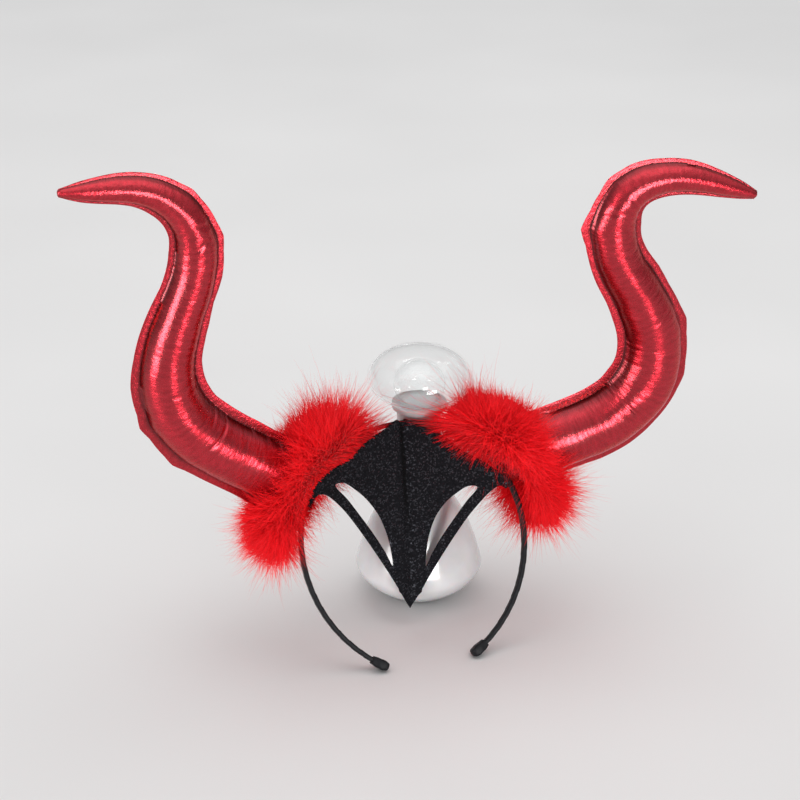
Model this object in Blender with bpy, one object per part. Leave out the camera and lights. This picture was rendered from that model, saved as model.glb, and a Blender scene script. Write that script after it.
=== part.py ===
"""Horned headband leaning on a plain turned stand.

Metres, +Z up, +X to the right seen from the front, the front towards -Y.
The origin is the centre of the stand's foot, on the surface that the foot
and the two ends of the hoop stand on.
"""
import random
from math import asin, cos, exp, hypot, pi, radians, sin, sqrt

import bmesh
import bpy
from mathutils import Vector
from mathutils.geometry import delaunay_2d_cdt

# Driving dimensions
GAP = 0.0003                    # clearance between pieces that touch

BAND_HALF_WIDTH = 0.0672        # hoop centreline, middle to its widest point
BAND_HEIGHT = 0.1397            # hoop centreline, line of the ends to the top
BAND_WIDEST_RISE = 0.0718       # height of the widest point up the hoop
BAND_END_REACH = 0.0255         # middle to the centre of each end
BAND_FACE = 0.0055              # width of the ribbon-wound strip
BAND_THICKNESS = 0.0030
BAND_LEAN = radians(29.4)       # the hoop leans back against the stand's neck
BAND_ASIDE = -0.0173            # middle of the hoop from the stand's axis

SLEEVE_LENGTH = 0.0105
SLEEVE_WALL = 0.0010

HORN_SEAT_ANGLE = radians(58)   # place of the horns round the hoop, from its top
HORN_LENGTH = {"left": 0.2936, "right": 0.3100}
HORN_WIDTH = 0.0460             # widest, across the two seams
HORN_DEPTH = 0.0360             # fullest, front to back
HORN_FORWARD = radians(6.3)     # the horns lean forward all the way up
HORN_SEAT_BLEND = 0.030         # length in which the flat root turns to the horn
HORN_SEAM_PROUD = 0.0012        # how far the sewn edges stand out

FUR_REACH_UP = 0.0310           # body of the fur past the horn, up along the hoop
FUR_REACH_DOWN = 0.0230         # and down along the hoop
FUR_REACH_ACROSS = 0.0120       # and in front of and behind the horn
FUR_START = 0.0030              # where the fur begins, up the horn from its root
FUR_DEPTH = 0.0190              # how far it runs up the horn
FUR_LOCK = 0.0130               # length of a lock
FUR_LOCK_WAIST = 0.55           # its width at half length, to that at its foot
FUR_LOCK_LEAN = 0.20            # how far a lock may lean aside
FUR_FORWARD = 0.0110            # its upper end lies this far in front of the hoop
FUR_FOLLOWS_UP = 0.90           # 1 bends it down to the hoop's own curve
FUR_FOLLOWS_DOWN = 0.50
FUR_CLEARANCE = 0.0006
FUR_DOME_ROOM = 0.0015          # the dome keeps the fur this far away

MASK_THICKNESS = 0.0020
MASK_DROP = 0.1130              # hoop's top to the point of the mask
MASK_FORWARD = 0.0207           # how far the point hangs in front of the top
MASK_CURL = 1.4                 # 1 hangs straight, more is a deeper curve
MASK_SKEW = 0.16                # the left strap is drawn up, the right strap sags
MASK_SKEW_FROM = 0.10           # share of the drop where that begins
MASK_SKEW_FULL = 0.28           # and where it is complete
MASK_SKEW_POWER = 6             # how suddenly it ends towards the wings
MASK_GROOVE_DEPTH = 0.0016
MASK_GROOVE_WIDTH = 0.0030
MASK_MESH = 0.0060              # spacing of the mask's mesh

NECK_RADIUS = 0.0134
BASE_RADIUS = 0.0385
BASE_HEIGHT = 0.1290            # top of the stand's white base
FLANGE_RADIUS = 0.0165
FLANGE_HEIGHT = 0.0032
FLANGE_EDGE = 0.0006            # softened edges of the flange
DOME_RADIUS = 0.0310
DOME_HALF_HEIGHT = 0.0180
DOME_WALL = 0.0014
DOME_MOUTH = 0.0138
INNER_DOME_RADIUS = 0.0165
INNER_DOME_HEIGHT = 0.0260
INNER_DOME_MOUTH = 0.0110

SIDES = {"left": -1, "right": 1}

# Outside of a sleeve, from its closed end up. share: part of its length;
# swell: its width and depth to those of the strip in its wall.
SLEEVE_OUTSIDE = [
    # share, swell
    (0.00, 0.62),
    (0.12, 0.92),
    (0.30, 1.00),
    (0.60, 1.06),
    (0.90, 1.00),
    (1.00, 0.90),
]

# Sections up the horns, which are stuffed by hand and so aren't quite alike.
# share: part of the horn's length; turns: heading of the horn's axis in
# degrees above level, outwards; wides: shares of HORN_WIDTH; depth: share of
# HORN_DEPTH.
HORN_SECTIONS = [
    # share, left turn, right turn, left wide, right wide, depth
    (0.00, 36.5, 27.0, 1.00, 1.02, 0.92),
    (0.10, 36.0, 20.5, 1.00, 1.04, 1.00),
    (0.20, 37.0, 25.0, 0.99, 1.06, 1.00),
    (0.30, 52.5, 58.0, 0.98, 1.06, 1.00),
    (0.40, 83.5, 96.0, 0.89, 0.96, 0.95),
    (0.50, 105.0, 118.0, 0.77, 0.84, 0.85),
    (0.60, 110.0, 117.5, 0.68, 0.76, 0.76),
    (0.70, 83.0, 80.0, 0.61, 0.69, 0.68),
    (0.80, 38.0, 12.0, 0.49, 0.53, 0.56),
    (0.90, 4.5, -16.5, 0.36, 0.38, 0.42),
    (0.96, 3.0, -19.0, 0.24, 0.25, 0.28),
    (1.00, 5.0, -19.5, 0.09, 0.10, 0.10),
]

# Outline of one half of the mask. across: share of the hoop's half width;
# down: share of MASK_DROP below the hoop's top.
MASK_EDGE = [
    # across, down
    (0.000, -0.012),
    (0.030, -0.042),
    (0.085, -0.030),
    (0.145, -0.004),
    (0.350, 0.055),
    (0.520, 0.135),
    (0.695, 0.180),
    (0.840, 0.240),
    (0.905, 0.290),
    (0.885, 0.330),
    (0.830, 0.298),
    (0.760, 0.310),
    (0.680, 0.350),
    (0.560, 0.433),
    (0.436, 0.540),
    (0.287, 0.680),
    (0.141, 0.828),
    (0.000, 0.985),
]
MASK_WING_ACROSS = max(row[0] for row in MASK_EDGE)
MASK_SLIT = [
    # across, down
    (0.640, 0.290),
    (0.560, 0.282),
    (0.466, 0.318),
    (0.360, 0.374),
    (0.262, 0.454),
    (0.201, 0.542),
    (0.165, 0.632),
    (0.150, 0.738),
    (0.220, 0.655),
    (0.312, 0.562),
    (0.430, 0.458),
    (0.536, 0.368),
]

# Turned profile of the white base. radius: share of BASE_RADIUS; height:
# share of the height to the neck's foot.
BASE_BELLY = [
    # radius, height
    (0.360, 0.000),
    (0.500, 0.024),
    (0.640, 0.062),
    (0.780, 0.110),
    (0.900, 0.160),
    (1.000, 0.240),
    (0.985, 0.300),
    (0.940, 0.375),
    (0.880, 0.460),
    (0.800, 0.560),
    (0.690, 0.665),
    (0.560, 0.765),
    (0.440, 0.860),
    (0.370, 0.940),
]
BASE_BELLY_HEIGHT = 0.0840


def material(name, colour, roughness, metallic=0.0, transmission=0.0):
    finish = bpy.data.materials.new(name)
    finish.use_nodes = True
    shader = finish.node_tree.nodes["Principled BSDF"]
    shader.inputs["Base Color"].default_value = (*colour, 1.0)
    shader.inputs["Roughness"].default_value = roughness
    shader.inputs["Metallic"].default_value = metallic
    shader.inputs["Transmission Weight"].default_value = transmission
    return finish


def smooth(values, place):
    """Catmull-Rom reading of rows whose first column rises with place."""
    last = len(values) - 1
    i = max(k for k in range(last) if values[k][0] <= place or k == 0)
    p1, p2 = values[i], values[i + 1]
    p0 = values[max(i - 1, 0)]
    p3 = values[min(i + 2, last)]
    span = p2[0] - p1[0]
    t = min(max((place - p1[0]) / span, 0.0), 1.0)
    out = []
    for k in range(1, len(p1)):
        m1 = (p2[k] - p0[k]) / (p2[0] - p0[0]) * span
        m2 = (p3[k] - p1[k]) / (p3[0] - p1[0]) * span
        out.append((2 * t**3 - 3 * t**2 + 1) * p1[k] + (t**3 - 2 * t**2 + t) * m1
                   + (3 * t**2 - 2 * t**3) * p2[k] + (t**3 - t**2) * m2)
    return out


def rounded(points, steps, closed):
    """Points on a smooth curve through the given ones."""
    count = len(points)
    spans = count if closed else count - 1
    out = []
    for i in range(spans):
        p0 = points[(i - 1) % count] if closed or i else points[0]
        p1, p2 = points[i], points[(i + 1) % count]
        p3 = points[(i + 2) % count] if closed or i + 2 < count else points[-1]
        for j in range(steps):
            t = j / steps
            out.append(tuple(
                0.5 * (2 * b + (c - a) * t + (2 * a - 5 * b + 4 * c - d) * t**2
                       + (3 * b - a - 3 * c + d) * t**3)
                for a, b, c, d in zip(p0, p1, p2, p3)))
    return out if closed else out + [points[-1]]


def finish_object(name, bm, look, crease=radians(40)):
    """Turns a closed bmesh into the named object, faces out, round parts smooth."""
    bmesh.ops.remove_doubles(bm, verts=bm.verts, dist=1e-7)
    bmesh.ops.recalc_face_normals(bm, faces=bm.faces)
    mesh = bpy.data.meshes.new(name)
    bm.to_mesh(mesh)
    bm.free()
    mesh.shade_smooth()
    mesh.set_sharp_from_angle(angle=crease)
    mesh.materials.append(look)
    piece = bpy.data.objects.new(name, mesh)
    bpy.context.scene.collection.objects.link(piece)
    return piece


def loft(rings):
    """A closed bmesh through rings of points, capped at both ends."""
    bm = bmesh.new()
    loops = [[bm.verts.new(p) for p in ring] for ring in rings]
    count = len(loops[0])
    for a, b in zip(loops, loops[1:]):
        for i in range(count):
            j = (i + 1) % count
            bm.faces.new((a[i], a[j], b[j], b[i]))
    bm.faces.new(reversed(loops[0]))
    bm.faces.new(loops[-1])
    return bm


def turn(name, profile, look, sides=36):
    """Spins rows of (radius, height) round the stand's axis, from axis to axis."""
    bm = bmesh.new()
    verts = [bm.verts.new((r, 0.0, z)) for r, z in profile]
    edges = [bm.edges.new(pair) for pair in zip(verts, verts[1:])]
    bmesh.ops.spin(bm, geom=verts + edges, cent=(0, 0, 0), axis=(0, 0, 1),
                   angle=2 * pi, steps=sides, use_merge=True)
    return finish_object(name, bm, look)


class Hoop:
    """The hoop's centreline: a half ellipse over two arcs that turn inwards."""

    crown = BAND_HEIGHT - BAND_WIDEST_RISE
    tuck = BAND_HALF_WIDTH - BAND_END_REACH
    arc_radius = (tuck**2 + BAND_WIDEST_RISE**2) / (2 * tuck)
    arc_angle = asin(BAND_WIDEST_RISE / arc_radius)
    arc_steps = 12
    crown_steps = 32

    def crown_point(self, angle):
        """Point and outward normal in the hoop's plane, angle from the top."""
        point = (BAND_HALF_WIDTH * sin(angle), BAND_WIDEST_RISE + self.crown * cos(angle))
        normal = Vector((sin(angle) / BAND_HALF_WIDTH, cos(angle) / self.crown)).normalized()
        return point, normal

    def arc_point(self, side, angle):
        """The same on the lower arc, angle down from the widest point."""
        centre = BAND_HALF_WIDTH - self.arc_radius
        point = (side * (centre + self.arc_radius * cos(angle)),
                 BAND_WIDEST_RISE - self.arc_radius * sin(angle))
        return point, Vector((side * cos(angle), -sin(angle)))

    def arc_end(self, length):
        """Angle on the arc at this length from the hoop's end."""
        return self.arc_angle - length / self.arc_radius

    def path(self, stop):
        """Points from the left end to the right, stopping short of both ends."""
        low = self.arc_end(stop)
        lower = [low * (1 - i / self.arc_steps) for i in range(self.arc_steps)]
        rows = [self.arc_point(-1, a) for a in lower]
        rows += [self.crown_point(-pi / 2 + pi * i / self.crown_steps)
                 for i in range(self.crown_steps + 1)]
        rows += [self.arc_point(1, a) for a in reversed(lower)]
        return rows

    def place(self, across, rise, forward=0.0):
        """A point of the leaning hoop's plane in space, before it is set down."""
        return Vector((BAND_ASIDE + across,
                       rise * sin(BAND_LEAN) - forward * cos(BAND_LEAN),
                       rise * cos(BAND_LEAN) + forward * sin(BAND_LEAN)))

    def section(self, row, half_face, half_thick, corner=0.35):
        """Eight-sided section of a flat strip with softened corners."""
        (x, rise), normal = row
        shape = []
        for a, b in ((1, 1 - corner * 2), (1 - corner, 1), (corner - 1, 1), (-1, 1 - corner * 2)):
            shape.append((a, b))
        shape += [(-a, -b) for a, b in shape]
        return [self.place(x + normal.x * half_thick * b, rise + normal.y * half_thick * b,
                           half_face * a) for a, b in shape]


HOOP = Hoop()


def band_rings():
    """Sections of the wound strip, which ends inside the sleeves."""
    stop = SLEEVE_WALL + GAP
    return [HOOP.section(row, BAND_FACE / 2, BAND_THICKNESS / 2) for row in HOOP.path(stop)]


def sleeve_rings(side):
    """Sections of a sleeve: up its outside, then down its pocket."""
    face, thick = BAND_FACE / 2 + GAP, BAND_THICKNESS / 2 + GAP
    rings = []
    for share, swell in SLEEVE_OUTSIDE:
        row = HOOP.arc_point(side, HOOP.arc_end(share * SLEEVE_LENGTH))
        rings.append(HOOP.section(row, (face + SLEEVE_WALL) * swell,
                                  (thick + SLEEVE_WALL) * swell))
    for length in (SLEEVE_LENGTH, SLEEVE_LENGTH / 2, SLEEVE_WALL):
        row = HOOP.arc_point(side, HOOP.arc_end(length))
        rings.append(HOOP.section(row, face, thick))
    return rings


def set_down():
    """How far the hoop moves so that its ends stand on the floor, its back on the neck."""
    lift = -min(p.z for side in (-1, 1) for ring in sleeve_rings(side) for p in ring)
    reach = NECK_RADIUS + GAP
    crown = band_rings()[HOOP.arc_steps:-HOOP.arc_steps]
    near = [p for ring in crown for p in ring if abs(p.x) < reach]
    return Vector((0.0, min(-sqrt(reach**2 - p.x**2) - p.y for p in near), lift))


SET_DOWN = set_down()


def hoop_point(across, rise, forward=0.0):
    return HOOP.place(across, rise, forward) + SET_DOWN


def moved(rings):
    return [[p + SET_DOWN for p in ring] for ring in rings]


def band_hoop(look):
    return finish_object("band_hoop", loft(moved(band_rings())), look)


def band_end(name, side, look):
    return finish_object(name, loft(moved(sleeve_rings(side))), look)


class Horn:
    """Axis and sections of one stuffed horn, from its root on the hoop."""

    steps = 150

    def __init__(self, name):
        self.side = SIDES[name]
        self.turn, self.wide = (1, 3) if name == "left" else (2, 4)
        self.length = HORN_LENGTH[name]
        (x, rise), normal = HOOP.crown_point(self.side * HORN_SEAT_ANGLE)
        out = BAND_THICKNESS / 2 + GAP
        self.root = hoop_point(x + normal.x * out, rise + normal.y * out)
        self.seat = (HOOP.place(normal.x, normal.y) - HOOP.place(0, 0)).normalized()
        self.axis = [self.root.copy()]
        for i in range(self.steps):
            step = self.tangent((i + 0.5) / self.steps) * self.length / self.steps
            self.axis.append(self.axis[-1] + step)

    def tangent(self, share):
        heading = radians(smooth(self.rows(), share)[0])
        return Vector((self.side * cos(heading) * cos(HORN_FORWARD), -sin(HORN_FORWARD),
                       sin(heading) * cos(HORN_FORWARD)))

    def rows(self):
        return [(row[0], row[self.turn], row[self.wide], row[5]) for row in HORN_SECTIONS]

    def frame(self, share):
        """Centre, seam direction and front direction of the section at share."""
        index = min(max(share, 0.0), 1.0) * self.steps
        low = min(int(index), self.steps - 1)
        centre = self.axis[low].lerp(self.axis[low + 1], index - low)
        turned = min(share * self.length / HORN_SEAT_BLEND, 1.0)
        turned = turned**2 * (3 - 2 * turned)
        along = self.seat.lerp(self.tangent(share), turned).normalized()
        front = (Vector((0, -1, 0)) - along * -along.y).normalized()
        return centre, along.cross(front) * self.side, front

    def ring(self, share, extra=0.0, sides=16):
        """Section with its two sewn edges standing out; extra widens it all round."""
        centre, seam, front = self.frame(share)
        _, width, depth = smooth(self.rows(), share)
        half_width = HORN_WIDTH * width / 2
        half_depth = HORN_DEPTH * depth / 2
        proud = min(HORN_SEAM_PROUD, half_width * 0.3)
        points = []
        for i in range(sides):
            angle = 2 * pi * i / sides
            reach = half_width if i % (sides // 2) == 0 else half_width - proud
            points.append(centre + seam * (reach + extra) * cos(angle)
                          + front * (half_depth + extra) * sin(angle))
        return points


HORNS = {name: Horn(name) for name in SIDES}


def horn(name, look):
    body = HORNS[name]
    shares = [i / 34 for i in range(34)] + [0.985, 0.996, 1.0]
    return finish_object("horn_" + name, loft([body.ring(s) for s in shares]), look)


def fur_trim(name, look, around=26):
    """A ring of fur round a horn's root: a backing with pointed locks drawn from it."""
    body = HORNS[name]
    rng = random.Random(7 + body.side)
    # axial share and bulge share round the ring's own section, from its hidden
    # foot by the hoop, over the outside, to the horn
    section = [(0.00, 0.00), (0.02, 0.55), (0.16, 0.88), (0.36, 1.00), (0.58, 0.93),
               (0.78, 0.70), (0.94, 0.38), (1.00, 0.00), (0.66, 0.00), (0.33, 0.00)]
    bm = bmesh.new()
    loops = []
    for i in range(around):
        angle = 2 * pi * i / around
        lower = cos(angle) > 0
        along = FUR_REACH_DOWN if lower else FUR_REACH_UP
        follows = FUR_FOLLOWS_DOWN if lower else FUR_FOLLOWS_UP
        forward = 0.0 if lower else FUR_FORWARD * cos(angle) ** 2
        reach = hypot(along * cos(angle), FUR_REACH_ACROSS * sin(angle))
        loop = []
        for axial, bulge in section:
            share = (FUR_START + FUR_DEPTH * axial) / body.length
            centre, seam, front = body.frame(share)
            _, width, depth = smooth(body.rows(), share)
            wide = HORN_WIDTH * width / 2 + FUR_CLEARANCE + reach * bulge
            deep = HORN_DEPTH * depth / 2 + FUR_CLEARANCE + reach * bulge
            sag = (reach * bulge + HORN_WIDTH * width / 2) * cos(angle)
            sag = sag**2 / (2 * BAND_HALF_WIDTH) * follows * bulge
            loop.append(bm.verts.new(centre + seam * wide * cos(angle) - body.seat * sag
                                     + front * (deep * sin(angle) + forward * bulge)))
        loops.append(loop)
    count = len(section)
    locks = []
    for i in range(around):
        a, b = loops[i], loops[(i + 1) % around]
        for j in range(count):
            k = (j + 1) % count
            face = bm.faces.new((a[j], b[j], b[k], a[k]))
            if 2 <= j <= 6 and (i + j) % 2 == 0:
                locks.append(face)
    bmesh.ops.recalc_face_normals(bm, faces=bm.faces)
    drawn = bmesh.ops.extrude_discrete_faces(bm, faces=locks)["faces"]
    for face in drawn:
        draw_lock(bm, face, rng)
    for vert in bm.verts:
        vert.co = pressed_aside(vert.co)
    return finish_object("fur_trim_" + name, bm, look, crease=radians(70))


def dome_centre():
    return BASE_HEIGHT + GAP + DOME_HALF_HEIGHT * sqrt(1 - (DOME_MOUTH / DOME_RADIUS) ** 2)


def pressed_aside(point):
    """Fur that would reach into the dome is pressed back to its outside."""
    radius, half = DOME_RADIUS + FUR_DOME_ROOM, DOME_HALF_HEIGHT + FUR_DOME_ROOM
    local = Vector((point.x, point.y, (point.z - dome_centre()) * radius / half))
    if local.length >= radius:
        return point
    local *= radius / local.length
    return Vector((local.x, local.y, dome_centre() + local.z * half / radius))


def draw_lock(bm, face, rng):
    """Draws one face out into a pointed lock with a slight lean."""
    length = FUR_LOCK * rng.uniform(0.75, 1.0)
    lean = Vector([rng.uniform(-FUR_LOCK_LEAN, FUR_LOCK_LEAN) for _ in range(3)])
    out = (face.normal + lean).normalized()
    centre = face.calc_center_median()
    for vert in face.verts:
        vert.co = centre + (vert.co - centre) * FUR_LOCK_WAIST + out * length / 2
    tip = bmesh.ops.poke(bm, faces=[face])["verts"][0]
    tip.co = centre + (out + lean * 0.6).normalized() * length


def hoop_front(across):
    """Front lower corner of the strip, where the mask lies on the hoop."""
    angle = asin(min(abs(across) / BAND_HALF_WIDTH, 0.96))
    (x, rise), normal = HOOP.crown_point(angle)
    inward = BAND_THICKNESS / 2
    return hoop_point(x - normal.x * inward, rise - normal.y * inward, BAND_FACE / 2)


def mask_point(across, down):
    """The felt's middle surface: hung from the hoop, curling forward to its point."""
    side = 1 if across > 0 else -1
    below = (down - MASK_SKEW_FROM) / (MASK_SKEW_FULL - MASK_SKEW_FROM)
    below = min(max(below, 0.0), 1.0)
    free = max(1 - (abs(across) / MASK_WING_ACROSS) ** MASK_SKEW_POWER, 0.0)
    half = abs(across) * BAND_HALF_WIDTH
    top = hoop_front(0.0).z
    z = top - down * MASK_DROP - side * half * MASK_SKEW * below * free
    edge = hoop_front(half)
    hang = min(max((edge.z - z) / MASK_DROP, 0.0), 1.0)
    groove = MASK_GROOVE_DEPTH * exp(-((half / MASK_GROOVE_WIDTH) ** 2))
    y = edge.y - GAP - MASK_THICKNESS / 2 - MASK_GROOVE_DEPTH
    y += groove - MASK_FORWARD * (1 - (1 - hang) ** MASK_CURL)
    return Vector((BAND_ASIDE + side * half, y, z))


def inside(point, loop):
    """True where the loop winds round the point."""
    hits = 0
    for (x1, y1), (x2, y2) in zip(loop, loop[1:] + loop[:1]):
        if (y1 > point[1]) != (y2 > point[1]):
            hits += point[0] < (x2 - x1) * (point[1] - y1) / (y2 - y1) + x1
    return hits % 2 == 1


def brow_mask(look):
    """Flat felt with two slits, meshed, hung in its curve and given its thickness."""
    half = rounded(MASK_EDGE, 2, closed=False)
    outline = half + [(-a, d) for a, d in reversed(half[1:-1])]
    slit = rounded(MASK_SLIT, 2, closed=True)
    slits = [slit, [(-a, d) for a, d in reversed(slit)]]
    loops = [outline] + slits
    points, edges = [], []
    for loop in loops:
        start, count = len(points), len(loop)
        points += loop
        edges += [(start + i, start + (i + 1) % count) for i in range(count)]
    step_across = MASK_MESH / BAND_HALF_WIDTH
    step_down = MASK_MESH / MASK_DROP
    rows = int(1.0 / step_down)
    columns = int(1.0 / step_across)
    for i in range(-columns, columns + 1):
        for j in range(rows + 1):
            spot = (i * step_across, j * step_down)
            near = min(hypot((spot[0] - a) * BAND_HALF_WIDTH, (spot[1] - d) * MASK_DROP)
                       for loop in loops for a, d in loop)
            solid = inside(spot, outline) and not any(inside(spot, s) for s in slits)
            if solid and near > MASK_MESH * 0.45:
                points.append(spot)
    flat = delaunay_2d_cdt([Vector(p) for p in points], edges, [], 1, 1e-6)
    bm = bmesh.new()
    verts = [bm.verts.new((v.x, v.y, 0)) for v in flat[0]]
    for face in flat[2]:
        centre = sum((flat[0][i] for i in face), Vector((0, 0))) / len(face)
        if inside(centre, outline) and not any(inside(centre, s) for s in slits):
            bm.faces.new([verts[i] for i in face])
    bmesh.ops.delete(bm, geom=[v for v in bm.verts if not v.link_faces], context="VERTS")
    for vert in bm.verts:
        vert.co = mask_point(vert.co.x, vert.co.y)
    piece = finish_object("brow_mask", bm, look)
    wall = piece.modifiers.new("felt", "SOLIDIFY")
    wall.thickness = MASK_THICKNESS
    wall.offset = 0.0
    return piece


def stand_base(look):
    profile = [(0.0, 0.0)]
    profile += [(BASE_RADIUS * r, BASE_BELLY_HEIGHT * h) for r, h in BASE_BELLY]
    under = BASE_HEIGHT - FLANGE_HEIGHT
    edge = FLANGE_EDGE
    profile += [(NECK_RADIUS, BASE_BELLY_HEIGHT), (NECK_RADIUS, under - 2 * edge),
                (FLANGE_RADIUS - edge, under), (FLANGE_RADIUS, under + edge),
                (FLANGE_RADIUS, BASE_HEIGHT - edge), (FLANGE_RADIUS - edge, BASE_HEIGHT),
                (0.0, BASE_HEIGHT)]
    return turn("stand_base", profile, look)


def shell(radius, half_height, mouth, centre, wall, steps=9):
    """Closed profile of a thin dome, from its mouth over the top and back inside."""
    start = -sqrt(max(1 - (mouth / radius) ** 2, 0.0))
    low = asin(start)
    outer, inner = [], []
    for i in range(steps + 1):
        angle = low + (pi / 2 - low) * i / steps
        outer.append((radius * cos(angle), centre + half_height * sin(angle)))
        inner.append(((radius - wall) * cos(angle), centre + (half_height - wall) * sin(angle)))
    outer[-1] = (0.0, centre + half_height)
    inner[-1] = (0.0, centre + half_height - wall)
    return outer + inner[::-1]


def stand_dome(look):
    profile = shell(DOME_RADIUS, DOME_HALF_HEIGHT, DOME_MOUTH, dome_centre(), DOME_WALL)
    return turn_shell("stand_dome", profile, look)


def stand_inner_dome(look):
    half = INNER_DOME_HEIGHT / (1 + sqrt(1 - (INNER_DOME_MOUTH / INNER_DOME_RADIUS) ** 2))
    centre = BASE_HEIGHT + GAP + INNER_DOME_HEIGHT - half
    profile = shell(INNER_DOME_RADIUS, half, INNER_DOME_MOUTH, centre, DOME_WALL)
    return turn_shell("stand_inner_dome", profile, look)


def turn_shell(name, profile, look):
    """Spins a thin wall whose mouth stays open: its rim joins the last row to the first."""
    bm = bmesh.new()
    verts = [bm.verts.new((r, 0.0, z)) for r, z in profile]
    middle = len(verts) // 2
    edges = [bm.edges.new(pair) for i, pair in enumerate(zip(verts, verts[1:]))
             if i != middle - 1]
    edges.append(bm.edges.new((verts[-1], verts[0])))
    bmesh.ops.spin(bm, geom=verts + edges, cent=(0, 0, 0), axis=(0, 0, 1),
                   angle=2 * pi, steps=32, use_merge=True)
    return finish_object(name, bm, look)


def build():
    for old in list(bpy.data.objects):
        bpy.data.objects.remove(old, do_unlink=True)
    satin = material("black_satin_ribbon", (0.012, 0.012, 0.014), 0.42)
    foil = material("red_foil_fabric", (0.62, 0.012, 0.030), 0.28, metallic=0.85)
    fur = material("red_marabou", (0.72, 0.004, 0.010), 0.90)
    felt = material("black_glitter_felt", (0.014, 0.014, 0.016), 0.75)
    white = material("white_glossy", (0.83, 0.83, 0.82), 0.12)
    clear = material("clear_dome", (0.96, 0.97, 0.97), 0.04, transmission=1.0)
    band_hoop(satin)
    for name, side in SIDES.items():
        band_end("band_end_" + name, side, satin)
        horn(name, foil)
        fur_trim(name, fur)
    brow_mask(felt)
    stand_base(white)
    stand_dome(clear)
    stand_inner_dome(clear)


build()
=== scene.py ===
"""Looks of the horned headband and its stand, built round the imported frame.

Metres, +Z up, the front towards -Y. Every piece takes its place and size from
the frame's own boxes and the maker's sizes below.
"""

import random
from math import asin, cos, exp, hypot, pi, radians, sin, sqrt

import bmesh
import bpy
import numpy as np
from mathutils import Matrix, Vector, noise
from mathutils.geometry import delaunay_2d_cdt


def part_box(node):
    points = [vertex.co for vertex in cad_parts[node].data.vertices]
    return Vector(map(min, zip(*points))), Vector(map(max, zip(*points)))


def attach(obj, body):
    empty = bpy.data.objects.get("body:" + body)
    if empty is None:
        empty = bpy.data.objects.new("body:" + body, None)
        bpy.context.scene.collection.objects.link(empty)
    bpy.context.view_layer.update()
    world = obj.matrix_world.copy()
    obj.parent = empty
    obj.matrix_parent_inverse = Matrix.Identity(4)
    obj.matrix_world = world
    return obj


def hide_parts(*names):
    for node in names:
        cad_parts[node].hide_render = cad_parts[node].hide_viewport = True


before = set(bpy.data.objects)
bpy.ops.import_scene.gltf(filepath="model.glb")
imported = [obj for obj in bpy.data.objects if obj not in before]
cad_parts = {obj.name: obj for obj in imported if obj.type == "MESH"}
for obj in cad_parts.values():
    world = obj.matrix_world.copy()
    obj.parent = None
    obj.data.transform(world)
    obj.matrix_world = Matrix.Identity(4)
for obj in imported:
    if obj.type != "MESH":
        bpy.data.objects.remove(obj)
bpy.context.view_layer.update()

# Sizes of the hoop, its sleeves and its place
GAP = 0.0003                    # room between parts that touch
BAND_FACE = 0.0055
BAND_THICKNESS = 0.0030
BAND_HEIGHT = 0.1397
BAND_WIDEST_RISE = 0.0718
BAND_END_REACH = 0.0255
BAND_LEAN = radians(29.4)
BAND_LOW, BAND_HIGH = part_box("band_hoop")
BAND_ASIDE = (BAND_LOW.x + BAND_HIGH.x) / 2
BAND_HALF_WIDTH = (BAND_HIGH.x - BAND_LOW.x - BAND_THICKNESS) / 2
WRAP_PITCH = 0.0085
WRAP_STEP = 0.00022
WRAP_EDGE = 0.05                # share of a turn in which the ribbon's edge falls
FACE_SQUARE = 0.35              # how square the strip is across its face: 1 is round
SIDE_SQUARE = 0.55              # and through its thickness
SLEEVE_LENGTH = 0.0105
SLEEVE_WALL = 0.0010
FLOOR_CLEAR = 0.0002            # the sleeves' ribbon stays this far above the floor
SLEEVE_SWELL = [
    # along, size
    (0.00, 0.40),
    (0.02, 0.60),
    (0.10, 0.84),
    (0.28, 1.00),
    (0.50, 1.03),
    (0.75, 0.96),
    (0.92, 0.87),
    (1.00, 0.82),
]

# Sizes of the horns
HORN_SEAT_ANGLE = radians(58)
HORN_LENGTH = {"left": 0.2936, "right": 0.3100}
HORN_WIDTH = 0.0460
HORN_DEPTH = 0.0360
HORN_FORWARD = radians(6.3)
HORN_SEAT_BLEND = 0.030
ROOT_SLIM = 0.66                # the root inside the fur is drawn in to this share
ROOT_DRAWN = 0.045              # and is full again at this share of the length
TIP_SLIM = 0.70                 # the last ring before the tip closes
ROOT_BORDER_FROM = 0.98         # the flat seam border begins at this share across
BORDER_FROM = 0.76              # and at this one where it is fully formed
BORDER_GROWN = 0.13             # which is at this share of the length
BORDER_THICK = 0.0010           # half the thickness of its two layers and their fold
GROOVE_SHADE_WIDTH = 0.070               # half width of the painted shade in the groove beside the border
SEAM_WOBBLE = 0.0006
SEAM_KINKS = 22
PUCKER_DEPTH = 0.0006
PUCKER_PITCH = 0.0068
FULL_BEND = 14.0                # radians a metre, where the gathers are deepest
CREASE_WIDTH = 0.0012
CREASE_SWELL = 0.0040           # the foil rises beside a crease within this width
SOFT_FROM = 0.0140              # dents and lumps fade below this half width
LUMPS = [
    # how many a metre, height
    (55.0, 0.00070),
    (190.0, 0.00016),
]

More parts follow.
